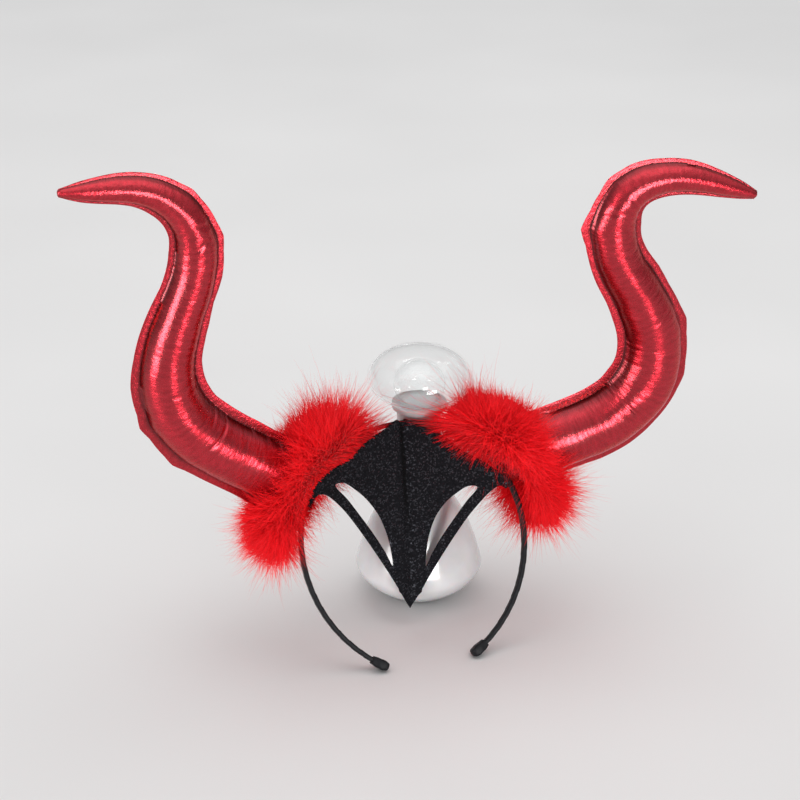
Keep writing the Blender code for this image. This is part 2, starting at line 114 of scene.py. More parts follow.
# Sizes of the fur
FUR_REACH_UP = 0.0310
FUR_REACH_DOWN = 0.0230
FUR_REACH_ACROSS = 0.0120
FUR_START = 0.0030
FUR_DEPTH = 0.0190
FUR_LOCK = 0.0130
FUR_FORWARD = 0.0110
FUR_FOLLOWS_UP = 0.90
FUR_FOLLOWS_DOWN = 0.50
FUR_CLEARANCE = 0.0006
FUR_BACKING = 0.62              # the skin under the hair, as a share of the fur's body
FUR_DOME_ROOM = 0.0010
FUR_INWARD = 0.55               # the hair is longer towards the crown
FUR_LOW = 0.45                  # the right fur's hair is shorter where it stands up
FUR_FORE = -0.091               # wisps that reach further forward than this lie back
FUR_BEFORE = 0.25               # the hair is longer where it faces the front
FUR_AHEAD = 0.35                # and shorter where it would lie along the horn
FUR_AHEAD_BELOW = 2.3           # this many times more so under the horn
FUR_ALONG = 0.04                # share of the horn's length where its direction is read
FUR_MOUTH = 0.20                # share of its length on the row that closes on the horn
FUR_SECTION = [
    # along the horn, bulge; the last row closes on the horn
    (0.00, 0.10),
    (0.02, 0.55),
    (0.09, 0.75),
    (0.16, 0.88),
    (0.26, 0.97),
    (0.36, 1.00),
    (0.47, 0.98),
    (0.58, 0.93),
    (0.68, 0.83),
    (0.78, 0.70),
    (0.86, 0.55),
    (0.94, 0.38),
    (1.00, 0.12),
    (0.85, -0.45),
]
FUR_COAT_SIZES = ("Thickness", "Shortest", "Longest", "Spread", "Curl", "Clump", "Segments")
FUR_COATS = [
    # name, hairs, then the sizes above
    ("under", 10200, 0.00036, 0.50, 0.90, 0.35, 0.45, 0.60, 3),
    ("over", 7900, 0.00018, 0.70, 1.25, 0.50, 0.60, 0.60, 4),
]
COMB_ACROSS = 1.3               # hair is combed only near the mask: within this across
COMB_DOWN = (-0.3, 1.1)         # and this down
COMB_DEPTH = 0.0020             # unless it is further behind the felt than this
COMB_GAP = 0.0008               # hair behind the mask keeps this far off it
COMB_EDGE = 0.0010              # and this far past the mask's edge too
COMB_SLOPE = 1.6                # how fast it may come forward again beyond that
OVERLAP = 0.0055                # how far the right fur may lie over the mask's edge
STRAY_SHARE = 0.015             # hairs of the right fur that lie further over it

# Sizes of the mask
MASK_THICKNESS = 0.0020
MASK_DROP = 0.1130
MASK_FORWARD = 0.0207
MASK_CURL = 1.4
MASK_SKEW = 0.16
MASK_SKEW_FROM = 0.10
MASK_SKEW_FULL = 0.28
MASK_SKEW_POWER = 6
MASK_GROOVE_DEPTH = 0.0016
MASK_GROOVE_WIDTH = 0.0030
DART_END = 0.088                # height at which the sewn dart, and the painted shade along it, begins to run out
DART_FADE = 0.030               # and the height in which it does
DART_HALF_WIDTH = 0.0022
MASK_MESH = 0.0016
MASK_RIM = 0.6                  # thickness at the cut edge, as a share of the felt's
MASK_SCALE = (BAND_HALF_WIDTH, MASK_DROP)

# Sizes of the stand
STAND_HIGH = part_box("stand_base")[1]
BASE_RADIUS = STAND_HIGH.x
BASE_HEIGHT = STAND_HIGH.z
BASE_BELLY_HEIGHT = 0.0840
NECK_RADIUS = 0.0134
FLANGE_RADIUS = 0.0165
FLANGE_HEIGHT = 0.0032
FLANGE_EDGE = 0.0006
DOME_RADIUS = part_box("stand_dome")[1].x
DOME_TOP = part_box("stand_dome")[1].z
DOME_HALF_HEIGHT = 0.0180
DOME_CENTRE = DOME_TOP - DOME_HALF_HEIGHT
DOME_WALL = 0.0014
DOME_MOUTH = 0.0138
INNER_DOME_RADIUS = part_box("stand_inner_dome")[1].x
INNER_DOME_HEIGHT = 0.0260
INNER_DOME_MOUTH = 0.0110

# Camera, floor and lights
CAMERA_AZIMUTH = radians(-15.838)
CAMERA_ELEVATION = radians(25)
CAMERA_TARGET = Vector((-0.018991, -0.0249, 0.143262))
CAMERA_DISTANCE = 1.100
CAMERA_LENS = 85.68
FLOOR_WIDTH = 8.0
LIGHT_TARGET = Vector((-0.02, -0.03, 0.15))
LIGHTS = [
    # name, place, size, power, whether it lights the floor too
    ("low_left", (-1.12, -0.42, 0.22), (0.50, 0.42), 9.8, False),
    ("low_right", (0.20, -1.20, 0.22), (0.48, 0.42), 12.0, False),
    ("overhead", (0.1, 0.20, 1.6), (1.8, 1.8), 7.5, True),
]

SIDES = {"left": -1, "right": 1}

# Turns in degrees, widths and depth as shares
HORN_SECTIONS = [
    # share, left turn, right turn, left wide, right wide, depth
    (0.00, 36.5, 27.0, 1.00, 1.02, 0.92),
    (0.10, 36.0, 20.5, 1.00, 1.04, 1.00),
    (0.20, 37.0, 25.0, 0.99, 1.06, 1.00),
    (0.30, 52.5, 58.0, 0.98, 1.06, 1.00),
    (0.40, 83.5, 96.0, 0.89, 0.96, 0.95),
    (0.50, 105.0, 118.0, 0.77, 0.84, 0.85),
    (0.60, 110.0, 117.5, 0.68, 0.76, 0.76),
    (0.70, 83.0, 80.0, 0.61, 0.69, 0.68),
    (0.80, 38.0, 12.0, 0.49, 0.53, 0.56),
    (0.90, 4.5, -16.5, 0.36, 0.38, 0.42),
    (0.96, 3.0, -19.0, 0.24, 0.25, 0.28),
    (1.00, 5.0, -19.5, 0.09, 0.10, 0.10),
]

# Creases pressed across the foil where the horns bend
HORN_CREASES = [
    # horn, share, centre across, half length, slant, depth
    ("left", 0.262, -0.30, 0.52, 0.16, 0.0010),
    ("left", 0.295, -0.62, 0.30, -0.25, 0.0006),
    ("left", 0.405, 0.05, 0.30, 0.05, 0.0005),
    ("left", 0.705, -0.10, 0.42, -0.30, 0.0008),
    ("left", 0.735, -0.45, 0.36, 0.35, 0.0007),
    ("right", 0.275, -0.25, 0.55, -0.10, 0.0010),
    ("right", 0.255, 0.15, 0.35, 0.25, 0.0006),
    ("right", 0.320, -0.55, 0.30, 0.20, 0.0005),
    ("right", 0.475, 0.10, 0.38, 0.10, 0.0005),
    ("right", 0.715, -0.35, 0.40, 0.20, 0.0007),
    ("right", 0.745, 0.05, 0.34, -0.25, 0.0006),
]

# Corners where the sewn edge stands out, with the seam that they are on
SEAM_CORNERS = [
    # horn, share, seam, stand-out, half length
    ("left", 0.345, 1, 0.0016, 0.020),
    ("left", 0.265, 1, 0.0010, 0.022),
    ("left", 0.700, -1, 0.0012, 0.022),
    ("left", 0.780, -1, 0.0010, 0.018),
    ("right", 0.430, 1, 0.0014, 0.024),
    ("right", 0.345, 1, 0.0010, 0.020),
    ("right", 0.680, -1, 0.0026, 0.024),
    ("right", 0.745, -1, 0.0012, 0.018),
]

# Half of the mask's outline and one slit, in shares of its half width and its drop
MASK_EDGE = [
    # across, down
    (0.000, -0.012),
    (0.030, -0.042),
    (0.085, -0.030),
    (0.145, -0.004),
    (0.350, 0.055),
    (0.520, 0.135),
    (0.695, 0.180),
    (0.840, 0.240),
    (0.905, 0.290),
    (0.885, 0.330),
    (0.830, 0.298),
    (0.760, 0.310),
    (0.680, 0.350),
    (0.560, 0.433),
    (0.436, 0.540),
    (0.287, 0.680),
    (0.141, 0.828),
    (0.000, 0.985),
]
MASK_WING_ACROSS = max(row[0] for row in MASK_EDGE)
MASK_SLIT = [
    # across, down
    (0.640, 0.290),
    (0.560, 0.282),
    (0.466, 0.318),
    (0.360, 0.374),
    (0.262, 0.454),
    (0.201, 0.542),
    (0.165, 0.632),
    (0.150, 0.738),
    (0.220, 0.655),
    (0.312, 0.562),
    (0.430, 0.458),
    (0.536, 0.368),
]

# The base below its neck, in shares of its height and radius
BASE_BELLY = [
    # height, radius
    (0.000, 0.360),
    (0.024, 0.500),
    (0.062, 0.640),
    (0.110, 0.780),
    (0.160, 0.900),
    (0.240, 1.000),
    (0.300, 0.985),
    (0.375, 0.940),
    (0.460, 0.880),
    (0.560, 0.800),
    (0.665, 0.690),
    (0.765, 0.560),
    (0.860, 0.440),
    (0.940, 0.370),
    (1.000, 0.348),
]


# Small tools for trees, meshes and curves

def node(tree, kind, inputs=None, **settings):
    """A node with its settings, its inputs given as values or as sockets to join."""
    made = tree.nodes.new(kind)
    for name, value in settings.items():
        setattr(made, name, value)
    for socket, value in (inputs or {}).items():
        if isinstance(value, bpy.types.NodeSocket):
            tree.links.new(value, made.inputs[socket])
        else:
            made.inputs[socket].default_value = value
    return made


def finish_of(name, **sockets):
    """A material with the values that are the same all over its shader."""
    look = bpy.data.materials.new(name)
    look.use_nodes = True
    shader = look.node_tree.nodes["Principled BSDF"]
    for socket, value in sockets.items():
        shader.inputs[socket.replace("_", " ")].default_value = value
    return look, look.node_tree


def wear(tree, **sockets):
    """Joins the values that change over the surface to the shader."""
    shader = tree.nodes["Principled BSDF"]
    for socket, value in sockets.items():
        tree.links.new(value, shader.inputs[socket.replace("_", " ")])


def math_node(tree, operation, *values):
    return node(tree, "ShaderNodeMath", dict(enumerate(values)), operation=operation).outputs[0]


def vector(tree, operation, *values):
    return node(tree, "ShaderNodeVectorMath", dict(enumerate(values)),
                operation=operation).outputs[0]


def scaled(tree, value, by):
    return node(tree, "ShaderNodeVectorMath", {0: value, "Scale": by},
                operation="SCALE").outputs[0]


def mapped(tree, value, low, high, start=0.0, end=1.0):
    """Takes start to low and end to high."""
    return node(tree, "ShaderNodeMapRange",
                {"Value": value, "From Min": start, "From Max": end,
                 "To Min": low, "To Max": high}).outputs[0]


def speckle(tree, place, scale, detail=2.0, roughness=0.5):
    """Noise over a place, stretched where the scale has three numbers."""
    if isinstance(scale, tuple):
        place = node(tree, "ShaderNodeMapping", {"Vector": place, "Scale": scale}).outputs[0]
        scale = 1.0
    return node(tree, "ShaderNodeTexNoise", {"Vector": place, "Scale": scale, "Detail": detail,
                                             "Roughness": roughness}).outputs["Fac"]


def bump(tree, height, strength, distance, **over):
    return node(tree, "ShaderNodeBump", {"Height": height, "Strength": strength,
                                         "Distance": distance, **over}).outputs[0]


def carried(tree, name):
    """A value that the mesh carries at its points."""
    return node(tree, "ShaderNodeAttribute", attribute_name=name).outputs["Fac"]


def flat_place(tree):
    return node(tree, "ShaderNodeUVMap", uv_map="surface").outputs["UV"]


def solid_place(tree):
    return node(tree, "ShaderNodeTexCoord").outputs["Object"]


def ramp(tree, factor, stops):
    """A colour ramp through (place, colour) stops."""
    made = node(tree, "ShaderNodeValToRGB", {"Fac": factor})
    band = made.color_ramp
    while len(band.elements) < len(stops):
        band.elements.new(1.0)
    for element, (place, colour) in zip(band.elements, stops):
        element.position = place
        element.color = (*colour, 1.0)
    return made.outputs["Color"]


def smooth(values, place):
    """Catmull-Rom reading of rows whose first column rises with place."""
    last = len(values) - 1
    i = max(k for k in range(last) if values[k][0] <= place or k == 0)
    p1, p2 = values[i], values[i + 1]
    p0 = values[max(i - 1, 0)]
    p3 = values[min(i + 2, last)]
    span = p2[0] - p1[0]
    t = min(max((place - p1[0]) / span, 0.0), 1.0)
    out = []
    for k in range(1, len(p1)):
        m1 = (p2[k] - p0[k]) / (p2[0] - p0[0]) * span
        m2 = (p3[k] - p1[k]) / (p3[0] - p1[0]) * span
        out.append((2 * t**3 - 3 * t**2 + 1) * p1[k] + (t**3 - 2 * t**2 + t) * m1
                   + (3 * t**2 - 2 * t**3) * p2[k] + (t**3 - t**2) * m2)
    return out


def eased(share):
    """Slow at 0 and at 1, and 1 from there on."""
    share = min(share, 1.0)
    return share**2 * (3 - 2 * share)


def rounded(points, steps, closed):
    """Points on a smooth curve through the given ones."""
    count = len(points)
    spans = count if closed else count - 1
    out = []
    for i in range(spans):
        p0 = points[(i - 1) % count] if closed or i else points[0]
        p1, p2 = points[i], points[(i + 1) % count]
        p3 = points[(i + 2) % count] if closed or i + 2 < count else points[-1]
        for j in range(steps):
            t = j / steps
            out.append(tuple(
                0.5 * (2 * b + (c - a) * t + (2 * a - 5 * b + 4 * c - d) * t**2
                       + (3 * b - a - 3 * c + d) * t**3)
                for a, b, c, d in zip(p0, p1, p2, p3)))
    return out if closed else out + [points[-1]]


def placed(name, data):
    """A new object in the scene."""
    made = bpy.data.objects.new(name, data)
    bpy.context.scene.collection.objects.link(made)
    return made


def finish_piece(mesh, name, look, crease):
    mesh.shade_smooth()
    mesh.set_sharp_from_angle(angle=crease)
    mesh.materials.clear()
    mesh.materials.append(look)
    return placed(name, mesh)


def face_out(mesh):
    bm = bmesh.new()
    bm.from_mesh(mesh)
    bmesh.ops.recalc_face_normals(bm, faces=bm.faces)
    bm.to_mesh(mesh)
    bm.free()


def skin(name, rings, look, crease):
    """A closed skin through rings of points, with a UV map in metres, round and along."""
    points = np.array([[tuple(p) for p in ring] for ring in rings])
    rows, count, _ = points.shape
    verts = list(map(tuple, points.reshape(-1, 3)))
    verts += [tuple(points[0].mean(0)), tuple(points[-1].mean(0))]
    around = np.linalg.norm(np.roll(points, -1, 1) - points, axis=2).sum(1).max()
    step = np.linalg.norm(np.diff(points.mean(1), axis=0), axis=1)
    along = np.concatenate([[0.0], np.cumsum(step)])
    faces, flat = [], []
    for r in range(rows - 1):
        for i in range(count):
            j = (i + 1) % count
            faces.append((r * count + i, r * count + j, (r + 1) * count + j, (r + 1) * count + i))
            u0, u1 = around * i / count, around * (i + 1) / count
            flat += [(u0, along[r]), (u1, along[r]), (u1, along[r + 1]), (u0, along[r + 1])]
    for end, row in ((rows * count, 0), (rows * count + 1, rows - 1)):
        for i in range(count):
            j = (i + 1) % count
            pair = (j, i) if row == 0 else (i, j)
            faces.append((end, row * count + pair[0], row * count + pair[1]))
            flat += [(around * k / count, along[row]) for k in (i, *pair)]
    mesh = bpy.data.meshes.new(name)
    mesh.from_pydata(verts, [], faces)
    layer = mesh.uv_layers.new(name="surface")
    layer.data.foreach_set("uv", np.array(flat, np.float32).ravel())
    face_out(mesh)
    return finish_piece(mesh, name, look, crease)


def turned(name, profile, look, sides, crease, walled=False):
    """Spins (radius, height) rows round the stand's axis.

    A walled profile runs up the outside to the pole and down the inside, and its rim
    joins the last row to the first.
    """
    bm = bmesh.new()
    verts = [bm.verts.new((r, 0.0, z)) for r, z in profile]
    pairs = list(zip(verts, verts[1:]))
    if walled:
        del pairs[len(verts) // 2 - 1]
        pairs.append((verts[-1], verts[0]))
    edges = [bm.edges.new(pair) for pair in pairs]
    bmesh.ops.spin(bm, geom=verts + edges, cent=(0, 0, 0), axis=(0, 0, 1),
                   angle=2 * pi, steps=sides, use_merge=True)
    bmesh.ops.remove_doubles(bm, verts=bm.verts, dist=1e-7)
    bmesh.ops.recalc_face_normals(bm, faces=bm.faces)
    mesh = bpy.data.meshes.new(name)
    bm.to_mesh(mesh)
    bm.free()
    return finish_piece(mesh, name, look, crease)


def carry(mesh, name, kind, values):
    """Stores a value at each point of the mesh."""
    layer = mesh.attributes.new(name, kind, "POINT")
    layer.data.foreach_set("value" if kind == "FLOAT" else "vector",
                           np.array(values, np.float32).ravel())


def declare(piece, slot, *nodes):
    """The piece rides on the part and stands for its nodes, which are hidden; the slot is not used.
    """
    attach(piece, "root")
    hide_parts(*nodes)
    return piece


# Finishes

def satin_ribbon():
    """Black satin: fine threads along the ribbon under a soft gloss."""
    look, tree = finish_of("black_satin_ribbon", Roughness=0.5, Specular_IOR_Level=0.12)
    grain = speckle(tree, flat_place(tree), (9000, 500, 1))
    colour = ramp(tree, grain, [(0.30, (0.003, 0.003, 0.004)), (0.75, (0.012, 0.012, 0.014))])
    wear(tree, Base_Color=colour, Normal=bump(tree, grain, 0.25, 0.0001))
    return look


def red_foil():
    """Foil-faced fabric: red metal under a thin clear film, crinkled by hand stuffing."""
    look, tree = finish_of("red_foil_fabric", Metallic=0.95, Anisotropic=0.85,
                           Anisotropic_Rotation=0.25, Coat_Weight=0.45, Coat_Roughness=0.28,
                           Coat_IOR=1.6, Specular_Tint=(0.95, 0.25, 0.32, 1.0))
    tangent = node(tree, "ShaderNodeTangent", direction_type="UV_MAP", uv_map="surface")
    place = flat_place(tree)
    rumple = speckle(tree, place, (150, 420, 1), 3.0, 0.6)
    crackle = speckle(tree, place, (700, 1100, 1))
    colour = ramp(tree, rumple, [(0.30, (0.36, 0.008, 0.017)), (0.70, (0.54, 0.018, 0.034))])
    # painted shade: the base colour falls to 0.22 of itself in the groove beside each seam border,
    # where the seam attribute is 1
    shade = mapped(tree, carried(tree, "seam"), 1.0, 0.22)
    low = bump(tree, rumple, 0.35, 0.0012)
    high = bump(tree, crackle, 0.35, 0.0002, Normal=low)
    wear(tree, Tangent=tangent.outputs[0], Base_Color=scaled(tree, colour, shade),
         Roughness=mapped(tree, crackle, 0.24, 0.33, 0.3, 0.7), Normal=high, Coat_Normal=low)
    return look


def red_marabou():
    """Soft red down: deep red at the skin, paler and rosier towards the tips, with a painted red
    glow from its emission standing in for light scattered through the down.
    """
    look, tree = finish_of("red_marabou", Roughness=0.75, Specular_IOR_Level=0.25,
                           Sheen_Weight=0.15, Sheen_Roughness=0.5,
                           Sheen_Tint=(1.0, 0.12, 0.12, 1.0), Emission_Strength=0.12,
                           Emission_Color=(0.80, 0.0, 0.004, 1.0))
    colour = ramp(tree, carried(tree, "along"), [(0.0, (0.55, 0.0, 0.002)),
                                                 (0.45, (0.74, 0.001, 0.005)),
                                                 (1.0, (0.86, 0.008, 0.018))])
    shade = mapped(tree, carried(tree, "tone"), 0.72, 1.12)
    wear(tree, Base_Color=scaled(tree, colour, shade))
    return look


def glitter_felt():
    """Black felt set with fine glitter: each flake lies at its own angle."""
    look, tree = finish_of("black_glitter_felt", Specular_IOR_Level=0.10)
    place = solid_place(tree)
    flakes = node(tree, "ShaderNodeTexVoronoi", {"Vector": place, "Scale": 1300.0}).outputs["Color"]
    pick = node(tree, "ShaderNodeSeparateColor", {"Color": flakes}).outputs[0]
    bright = mapped(tree, pick, 0.0, 1.0, 0.74)
    cloud = speckle(tree, place, 900.0, 3.0)
    felt = ramp(tree, cloud, [(0.3, (0.002, 0.002, 0.003)), (0.7, (0.006, 0.006, 0.008))])
    colour = node(tree, "ShaderNodeMix", {"Factor": bright, "A": felt,
                                          "B": (0.043, 0.044, 0.052, 1.0)}, data_type="RGBA")
    # painted shade: the felt's colour is darkened to 0.15 of itself along the sewn dart down the
    # middle, from the hoop to DART_END, fading out below
    spot = node(tree, "ShaderNodeSeparateXYZ", {0: place}).outputs
    off = math_node(tree, "ABSOLUTE", math_node(tree, "SUBTRACT", spot["X"], BAND_ASIDE))
    beside = mapped(tree, off, 0.0, 1.0, 0.0002, DART_HALF_WIDTH)
    below = mapped(tree, spot["Z"], 0.0, 1.0, DART_END, DART_END - DART_FADE)
    dart_shade = mapped(tree, math_node(tree, "MAXIMUM", beside, below), 0.15, 1.0)
    facing = node(tree, "ShaderNodeNewGeometry").outputs["Normal"]
    tilt = vector(tree, "SUBTRACT", flakes, (0.5, 0.5, 0.5))
    lean = vector(tree, "MULTIPLY_ADD", tilt, (0.9, 0.9, 0.9), facing)
    nap = bump(tree, cloud, 0.6, 0.0005, Normal=vector(tree, "NORMALIZE", lean))
    wear(tree, Base_Color=scaled(tree, colour.outputs[2], dart_shade),
         Roughness=mapped(tree, bright, 0.85, 0.32),
         Metallic=math_node(tree, "MULTIPLY", bright, 0.8), Normal=nap)
    return look


def white_gloss():
    """Moulded white plastic, a little milky, with a soft gloss."""
    look, tree = finish_of("white_glossy", Subsurface_Weight=0.25, Subsurface_Scale=0.012,
                           Coat_Weight=0.4, Coat_Roughness=0.06)
    cloud = speckle(tree, solid_place(tree), 60.0, 4.0)
    colour = ramp(tree, cloud, [(0.3, (0.47, 0.47, 0.48)), (0.7, (0.53, 0.53, 0.54))])
    wear(tree, Base_Color=colour, Roughness=mapped(tree, cloud, 0.14, 0.24, 0.3, 0.7))
    return look


def clear_plastic():
    """Thin clear plastic with the faint ripples of its moulding."""
    look, tree = finish_of("clear_dome", IOR=1.015, Transmission_Weight=1.0, Coat_Weight=0.7,
                           Coat_Roughness=0.02, Coat_IOR=1.5,
                           Base_Color=(0.985, 0.99, 0.99, 1.0))
    ripple = speckle(tree, solid_place(tree), 45.0, 1.0)
    wear(tree, Roughness=mapped(tree, ripple, 0.01, 0.05, 0.3, 0.7))
    return look


def pale_floor():
    look, tree = finish_of("pale_floor", Roughness=0.85, Specular_IOR_Level=0.2)
    cloud = speckle(tree, solid_place(tree), 3.0)
    colour = ramp(tree, cloud, [(0.3, (0.76, 0.755, 0.75)), (0.7, (0.80, 0.795, 0.79))])
    wear(tree, Base_Color=colour)
    return look


# Hoop

CROWN = BAND_HEIGHT - BAND_WIDEST_RISE
TUCK = BAND_HALF_WIDTH - BAND_END_REACH
ARC_RADIUS = (TUCK**2 + BAND_WIDEST_RISE**2) / (2 * TUCK)
ARC_ANGLE = asin(BAND_WIDEST_RISE / ARC_RADIUS)


def crown_point(angle):
    """Point and outward normal in the hoop's plane, angle from the top."""
    point = (BAND_HALF_WIDTH * sin(angle), BAND_WIDEST_RISE + CROWN * cos(angle))
    return point, Vector((sin(angle) / BAND_HALF_WIDTH, cos(angle) / CROWN)).normalized()


def arc_point(side, angle):
    """The same on the lower arc, angle down from the widest point."""
    centre = BAND_HALF_WIDTH - ARC_RADIUS
    point = (side * (centre + ARC_RADIUS * cos(angle)), BAND_WIDEST_RISE - ARC_RADIUS * sin(angle))
    return point, Vector((side * cos(angle), -sin(angle)))


def arc_end(length):
    return ARC_ANGLE - length / ARC_RADIUS


def lean_back(across, rise, forward=0.0):
    return Vector((BAND_ASIDE + across,
                   rise * sin(BAND_LEAN) - forward * cos(BAND_LEAN),
                   rise * cos(BAND_LEAN) + forward * sin(BAND_LEAN)))


def strip_corner(row, thick, face):
    (x, rise), normal = row
    return lean_back(x + normal.x * thick, rise + normal.y * thick, face)


def hoop_rows(arc_steps, crown_steps):
    """Points from the left end to the right, stopping inside the sleeves."""
    low = arc_end(SLEEVE_WALL + GAP)
    lower = [low * (1 - i / arc_steps) for i in range(arc_steps)]
    rows = [arc_point(-1, a) for a in lower]
    rows += [crown_point(-pi / 2 + pi * i / crown_steps) for i in range(crown_steps + 1)]
    return rows + [arc_point(1, a) for a in reversed(lower)]


def set_down():
    """The hoop's place in the frame, read from the box of its strip."""
    corners = [strip_corner(row, BAND_THICKNESS / 2 * a, BAND_FACE / 2 * b)
               for row in hoop_rows(12, 32) for a in (-1, 1) for b in (-1, 1)]
    top = max(p.z for p in corners)
    back = max(p.y for p in corners)
    return Vector((0.0, BAND_HIGH.y - back, BAND_HIGH.z - top))


SET_DOWN = set_down()


def hoop_point(across, rise, forward=0.0):
    return lean_back(across, rise, forward) + SET_DOWN


def strip_ring(row, half_face, half_thick, sides, raised=None):
    """Rounded flat section of the strip; raised adds to it round the section."""
    (x, rise), normal = row
    ring = []
    for i in range(sides):
        angle = 2 * pi * i / sides
        a = abs(cos(angle)) ** FACE_SQUARE * (1 if cos(angle) > 0 else -1)
        b = abs(sin(angle)) ** SIDE_SQUARE * (1 if sin(angle) > 0 else -1)
        more = raised(angle) if raised else 0.0
        thick, face = (half_thick + more) * b, (half_face + more) * a
        ring.append(hoop_point(x + normal.x * thick, rise + normal.y * thick, face))
    return ring


def wound_hoop(look):
    """The strip with its ribbon wound on: each turn laps over the last."""
    rows = hoop_rows(110, 320)
    rings, run, last = [], 0.0, None
    for row in rows:
        spot = Vector(row[0])
        run += (spot - last).length if last else 0.0
        last = spot

        def lap(angle, run=run):
            phase = (run / WRAP_PITCH + angle / (2 * pi)) % 1.0
            edge = min((1 - phase) / WRAP_EDGE, 1.0)
            return WRAP_STEP * (phase * 0.9 * edge - 0.45)

        rings.append(strip_ring(row, BAND_FACE / 2 - WRAP_STEP / 2,
                                BAND_THICKNESS / 2 - WRAP_STEP / 2, 28, lap))
    return declare(skin("hoop_ribbon", rings, look, radians(70)), "satin_ribbon", "band_hoop")


def sleeve(name, look):
    """A folded ribbon end: a soft pocket, drawn in at its mouth and tucked below."""
    side = SIDES[name]
    face, thick = BAND_FACE / 2 + GAP + SLEEVE_WALL, BAND_THICKNESS / 2 + GAP + SLEEVE_WALL
    rings = []
    steps = 26
    for i in range(steps + 1):
        share = i / steps
        size = smooth(SLEEVE_SWELL, share)[0]

        def fold(angle, share=share):
            return 0.00007 * sin(3 * angle + 14 * share)

        row = arc_point(side, arc_end(share * SLEEVE_LENGTH))
        ring = strip_ring(row, face * size, thick * size, 32, fold)
        for spot in ring:
            spot.z = max(spot.z, FLOOR_CLEAR)
        rings.append(ring)
    for length in (SLEEVE_LENGTH, SLEEVE_LENGTH / 2, SLEEVE_WALL):
        row = arc_point(side, arc_end(length))
        rings.append(strip_ring(row, BAND_FACE / 2 + GAP, BAND_THICKNESS / 2 + GAP, 32))
    piece = skin("sleeve_" + name, rings, look, radians(60))
    return declare(piece, "satin_ribbon", "band_end_" + name)


# Horns

class Horn:
    """Axis and sections of one stuffed horn, from its root on the hoop."""

    steps = 150

    def __init__(self, name):
        self.name = name
        self.side = SIDES[name]
        self.turn, self.wide = (1, 3) if name == "left" else (2, 4)
        self.length = HORN_LENGTH[name]
        self.rows = [(row[0], row[self.turn], row[self.wide], row[5]) for row in HORN_SECTIONS]
        (x, rise), normal = crown_point(self.side * HORN_SEAT_ANGLE)
        out = BAND_THICKNESS / 2 + GAP
        self.root = hoop_point(x + normal.x * out, rise + normal.y * out)
        self.seat = (lean_back(normal.x, normal.y) - lean_back(0, 0)).normalized()
        self.axis = [self.root.copy()]
        for i in range(self.steps):
            step = self.tangent((i + 0.5) / self.steps) * self.length / self.steps
            self.axis.append(self.axis[-1] + step)

    def heading(self, share):
        return radians(smooth(self.rows, share)[0])

    def tangent(self, share):
        heading = self.heading(share)
        return Vector((self.side * cos(heading) * cos(HORN_FORWARD), -sin(HORN_FORWARD),
                       sin(heading) * cos(HORN_FORWARD)))

    def frame(self, share):
        """Centre, seam direction and front direction of the section at share."""
        index = min(max(share, 0.0), 1.0) * self.steps
        low = min(int(index), self.steps - 1)
        centre = self.axis[low].lerp(self.axis[low + 1], index - low)
        turned_by = eased(share * self.length / HORN_SEAT_BLEND)
        along = self.seat.lerp(self.tangent(share), turned_by).normalized()
        front = (Vector((0, -1, 0)) - along * -along.y).normalized()
        return centre, along.cross(front) * self.side, front

    def bend(self, share):
        """How sharply the horn turns here: above 0 towards its inner seam."""
        span = 0.02
        turn = self.heading(min(share + span, 1.0)) - self.heading(max(share - span, 0.0))
        return turn / (2 * span * self.length)


def seam_edge(horn, share, seam, wobble):
    """How far the sewn edge stands out here: small kinks and the named corners."""
    out = wobble[seam](share)
    for name, place, side, stand, half in SEAM_CORNERS:
        if name == horn.name and side == seam:
            out += stand * max(1 - abs(share - place) / half, 0.0)
    return out


def kinked(rng, count, depth):
    """A line of straight pieces with a random height at each corner."""
    heights = [rng.uniform(-depth, depth) for _ in range(count + 2)]

    def read(share):
        place = min(max(share, 0.0), 0.9999) * count
        low = int(place)
        return heights[low] + (heights[low + 1] - heights[low]) * (place - low)

    return read


def pucker(horn, share, across, wave):
    """Small gathers on the inside of each bend, deepest near the seam there."""
    bend = horn.bend(share)
    inner = across * (-1 if bend > 0 else 1)
    near = min(max((inner - 0.05) / 0.85, 0.0), 1.0)
    force = min(abs(bend) / FULL_BEND, 1.0) * near
    run = share * horn.length / PUCKER_PITCH + wave(share)
    fold = abs(sin(pi * run))
    size = 0.5 + 0.5 * noise.noise(Vector((round(run) * 1.7, horn.side * 3.0, 0.5)))
    return -PUCKER_DEPTH * force * size * (1 - fold) ** 1.5


def creases(horn, share, across):
    depth = 0.0
    for name, place, centre, half, slant, deep in HORN_CREASES:
        if name != horn.name:
            continue
        off = across - centre
        reach = max(1 - (off / half) ** 2, 0.0)
        away = (share - place) * horn.length - off * slant * HORN_WIDTH / 2
        line = exp(-((away / CREASE_WIDTH) ** 2))
        swell = exp(-((away / CREASE_SWELL) ** 2))
        depth += deep * reach * (line - 0.35 * swell)
    return -depth


def border_start(share):
    """Where the flat border begins: the root inside the fur is stuffed right out."""
    return ROOT_BORDER_FROM - (ROOT_BORDER_FROM - BORDER_FROM) * eased(share / BORDER_GROWN)


def tube_height(across, half_depth, start):
    """Height of the stuffed section: a full tube between two flat seam borders."""
    across = min(abs(across), 1.0)
    tube = half_depth * sqrt(max(1 - (across / start) ** 2, 0.0))
    border = min(BORDER_THICK, half_depth / 2) * min(1.3 - across, 4 * (1 - across) + 0.1)
    return max(tube, border)


